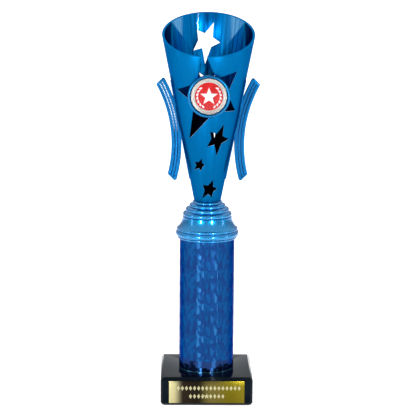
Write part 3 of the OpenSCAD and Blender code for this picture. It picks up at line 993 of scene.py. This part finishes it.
def curved_bar(name, trim, front, back):
    """A bar swept along the handle's arc between two depths, narrower and shorter all round by trim."""
    start, sweep = radians(-20), radians(54)
    centre = Vector((ARC_X, 0, WAIST_Z))
    clear_selection()
    bpy.ops.mesh.primitive_plane_add(size=1)
    obj = named(name)
    obj.scale = (BLADE_W - 2 * trim, back - front, 1)
    obj.location = (ARC_X - BLADE_R - BLADE_W / 2, (front + back) / 2, WAIST_Z)
    settle(obj)
    obj.matrix_world = (Matrix.Translation(centre) @ Matrix.Rotation(start, 4, "Y")
                        @ Matrix.Translation(-centre))
    settle(obj)
    edit(obj, "FACE")
    bpy.ops.mesh.select_all(action="SELECT")
    bpy.ops.mesh.spin(steps=54, angle=-sweep, center=centre, axis=(0, 1, 0))
    close_edit()
    for side, far in ((1, BLADE_UP), (-1, BLADE_DOWN)):
        end_x = ARC_X - sqrt(BLADE_R ** 2 - far ** 2)
        far -= END_TRIM * trim
        chop(obj, (end_x, 0, WAIST_Z + side * far), (END_SLOPE, 0, side))
        round_tip(obj, side, end_x, far, BLADE_R + BLADE_W - trim, TIP_R - trim)
    return obj


def blade():
    """The right handle's curved blade, rounded, with a channel sunk in its front and back."""
    face, floor, border = BLADE_HALF, BLADE_HALF - 0.5 * MM, 1.2 * MM
    obj = curved_bar("blade", 0, -face, face)
    round_edges(obj, 0.45 * MM, segments=3, angle=40)
    cut(obj, curved_bar("front_channel", border, -face - MM, -floor))
    cut(obj, curved_bar("back_channel", border, floor, face + MM))
    return obj


def handle_shape():
    """A blade with the rib that seats it on the cup's side."""
    obj = blade()
    low, top, out = WAIST_Z - 25 * MM, WAIST_Z + 45.6 * MM, 0.4 * MM
    rib = outline("rib", [(cup_r(low) - MM, low), (cup_r(low) + out, low), (cup_r(top) + out, top),
                          (cup_r(top) - MM, top)], 2 * BLADE_HALF)
    move_mesh(rib, y=BLADE_HALF)
    round_edges(rib, 0.2 * MM, segments=2)
    cut(obj, rib, "UNION")
    cut(obj, cup_cone("seat"))
    return obj


def handles(material):
    right = handle_shape()
    right.name = right.data.name = "blade_right"
    left = copy_of(right, "blade_left")
    left.scale = (-1, 1, 1)
    settle(left)
    edit(left, "FACE")
    close_edit()
    for obj, node in ((right, "right_handle"), (left, "left_handle")):
        smooth(obj, 30)
        place(obj, material, "handle_blue", node)


# ---------------------------------------------------------------- round centre

HOLDER_BACK = 15 * MM
SEAT = 28.82 * MM


def centre_holder(material):
    """Bowl with a rounded lip, seated on the cup and hollow behind."""
    front, outer = -HOLDER_FRONT, HOLDER_R
    lip, bowl = 13.5 * MM, DISC_R + 0.15 * MM
    round_r = 1.2 * MM
    shape = [(outer, HOLDER_BACK)] + arc(outer - round_r, front - round_r, round_r, 0, 90, 6)
    shape += [(lip, front), (bowl, front - 1.1 * MM), (bowl, SEAT), (MM, SEAT)]
    obj = turned("centre_bowl", shape)
    cut(obj, post("hollow", DISC_R - 0.85 * MM, 0, SEAT - 1.4 * MM))
    face_forward(obj, CENTRE_Z)
    cut(obj, cup_cone("seat"))
    smooth(obj, 30)
    return place(obj, material, "handle_blue", "centre_holder")


def centre_backing(material):
    """Bright disc with a stepped rim around the print."""
    well, floor = PRINT_R + 0.15 * MM, -PRINT_FRONT - 0.3 * MM
    front = -span("centre_backing", 1)[0]
    edge, step, groove = 0.1 * MM, front - 0.02 * MM, front - 0.12 * MM
    shape = [(DISC_R, SEAT), (DISC_R, front - edge), (DISC_R - edge, front), (11.4 * MM, front),
             (11 * MM, groove), (10.7 * MM, groove), (10.6 * MM, step), (well, step), (well, floor),
             (MM, floor)]
    obj = turned("bright_disc", shape)
    face_forward(obj, CENTRE_Z)
    smooth(obj, 20)
    return place(obj, material, "backing", "centre_backing")


def laurel_leaf(turn, radius, length, width, side):
    """A pointed leaf that leans off a circle about the centre, on its right side or its left."""
    lean = radians(turn + 90 + 24)
    x, z = radius * cos(radians(turn)), CENTRE_Z + radius * sin(radians(turn))
    corners = [(-length / 2, 0), (-length / 10, width / 2), (length / 2, 0), (-length / 10, -width / 2)]
    return [(side * (x + a * cos(lean) - b * sin(lean)), z + a * sin(lean) + b * cos(lean))
            for a, b in corners]


def centre_print(red, white):
    """Red card with a white star between two sprigs of laurel."""
    low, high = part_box("centre_print")
    card = post("red_card", PRINT_R, -high.y, -low.y)
    face_forward(card, CENTRE_Z)
    smooth(card)
    place(card, red, "print", "centre_print")
    parts = [outline("star", star_points(CENTRE_Z, 6.4 * MM, 2.6 * MM), INK)]
    for side in (-1, 1):
        for k in range(7):
            leaf = laurel_leaf(-60 + 17.5 * k, 8.1 * MM, 2.9 * MM, 1.5 * MM, side)
            parts.append(outline("leaf", leaf, INK))
    emblem = joined("star_emblem", parts)
    move_mesh(emblem, y=PRINT_FRONT)
    place(emblem, white, "print", "centre_print")


def centre_dome(material):
    """Clear cast dome over the print, its back just behind the card's face."""
    rise, steps, gap, edge = 1 * MM, 16, 0.02 * MM, 0.1 * MM
    shoulder = -DOME_FRONT - rise
    ball = (DISC_R ** 2 + rise ** 2) / (2 * rise)
    shape = [(DISC_R - gap, -PRINT_FRONT - gap), (DISC_R - gap, shoulder - edge)]
    for k in range(steps, -1, -1):
        r = (DISC_R - edge) * k / steps
        shape.append((r, shoulder + rise - ball + sqrt(ball ** 2 - r ** 2)))
    obj = turned("clear_dome", shape)
    face_forward(obj, CENTRE_Z)
    smooth(obj, 40)
    return place(obj, material, "dome", "centre_dome")


# ---------------------------------------------------------------- the trophy put together

def repaint(material, slot_name, *nodes):
    """Gives CAD nodes that stay as they are a better finish."""
    for node in nodes:
        obj = NODES[node]
        obj.data.materials.clear()
        obj.data.materials.append(material)


def build_trophy():
    steel = plated_steel()
    felt_pad(felt())
    base_block(marble())
    engraving_plate(plate_gold(), printed("pale_ink", (0.36, 0.33, 0.18), 0.3))
    repaint(moulded("white_tape", (0.6, 0.57, 0.47), 0.6), "tape", "plate_tape")
    tie_rod(steel)
    nut("base_nut", steel)
    nut("cup_nut", steel)
    penny_washer(steel)
    repaint(steel, "plated_steel", "spring_washer")
    repaint(moulded("plug_plastic", (0.02, 0.02, 0.022), 0.5), "plug_plastic",
            "lower_tube_plug", "upper_tube_plug")
    repaint(moulded("tube_plastic", (0.25, 0.28, 0.32), 0.4), "tube_plastic", "column_tube")
    foil_sleeve(prism_foil())
    riser(pearl_blue())
    cup(cup_finish())
    handles(handle_finish())
    centre_holder(holder_blue())
    centre_backing(bright_backing())
    centre_print(printed("red_print", (0.58, 0.006, 0.008), 0.25),
                 printed("white_print", (0.9, 0.9, 0.9), 0.1))
    centre_dome(clear_resin())


# ---------------------------------------------------------------- studio

CAMERA_AZIMUTH = radians(-1.0)
CAMERA_PITCH = radians(78.74)
CAMERA_ROLL = radians(0.45)
CAMERA_DISTANCE = 1.3741
CAMERA_HEIGHT = 0.4114
CAMERA_LENS = 168.48
CAMERA_SHIFT = 0.0016
AIM = Vector((0, 0, 0.14))


def camera():
    data = bpy.data.cameras.new("camera")
    data.lens = CAMERA_LENS
    data.sensor_width = 36
    data.shift_x = CAMERA_SHIFT
    data.clip_start = 0.05
    obj = bpy.data.objects.new("camera", data)
    obj.location = (CAMERA_DISTANCE * sin(CAMERA_AZIMUTH), -CAMERA_DISTANCE * cos(CAMERA_AZIMUTH),
                    CAMERA_HEIGHT)
    turn = (Matrix.Rotation(CAMERA_AZIMUTH, 3, "Z") @ Matrix.Rotation(CAMERA_PITCH, 3, "X")
            @ Matrix.Rotation(CAMERA_ROLL, 3, "Z"))
    obj.rotation_euler = turn.to_euler()
    bpy.context.scene.collection.objects.link(obj)
    bpy.context.scene.camera = obj


def soft_box(name, azimuth, height, away, width, tall, power):
    """A soft box at an azimuth from the front, facing the trophy."""
    data = bpy.data.lights.new(name, "AREA")
    data.shape = "RECTANGLE"
    data.size = width
    data.size_y = tall
    data.energy = power
    obj = bpy.data.objects.new(name, data)
    turn = radians(azimuth)
    obj.location = (away * sin(turn), -away * cos(turn), height)
    obj.rotation_euler = (AIM - obj.location).to_track_quat("-Z", "Y").to_euler()
    obj.visible_camera = False
    bpy.context.scene.collection.objects.link(obj)


def white_floor():
    clear_selection()
    bpy.ops.mesh.primitive_plane_add(size=24, location=(0, 0, -0.1 * MM))
    obj = named("studio_floor")
    material, tree, shader = finish("studio_floor", Roughness=0.9, Specular_IOR_Level=0.1,
                                    Emission_Color=(1.0, 1.0, 1.0), Emission_Strength=0.6)
    tone = noise(tree, object_spot(tree), Scale=6.0, Detail=3.0)
    wire(shader, Base_Color=mix(tree, tone, (0.9, 0.9, 0.9), (0.93, 0.93, 0.93)))
    obj.data.materials.append(material)


def pale_room():
    """Even pale light from above, dimmer towards the horizon."""
    world = bpy.data.worlds.new("pale_room")
    world.use_nodes = True
    tree = world.node_tree
    direction = add_node(tree, "ShaderNodeTexCoord").outputs["Generated"]
    rise = add_node(tree, "ShaderNodeSeparateXYZ", Vector=direction).outputs["Z"]
    shade = ramp(tree, rise, [(0.0, (0.55, 0.57, 0.6)), (0.25, (0.62, 0.66, 0.7)),
                              (0.5, (1.1, 1.1, 1.1)), (1.0, (1.3, 1.3, 1.3))])
    wire(tree.nodes["Background"], Color=shade, Strength=1.0)
    bpy.context.scene.world = world


def studio():
    bpy.context.scene.view_settings.view_transform = "Standard"
    camera()
    white_floor()
    pale_room()
    soft_box("left_front_box", -30, 0.35, 1.4, 0.16, 0.5, 8)
    soft_box("right_front_box", 21.5, 0.35, 1.4, 0.16, 0.5, 8)
    soft_box("left_side_box", -76, 0.4, 1.5, 0.12, 0.8, 1.5)
    soft_box("right_side_box", 76, 0.4, 1.5, 0.12, 0.8, 1.5)


build_trophy()
studio()
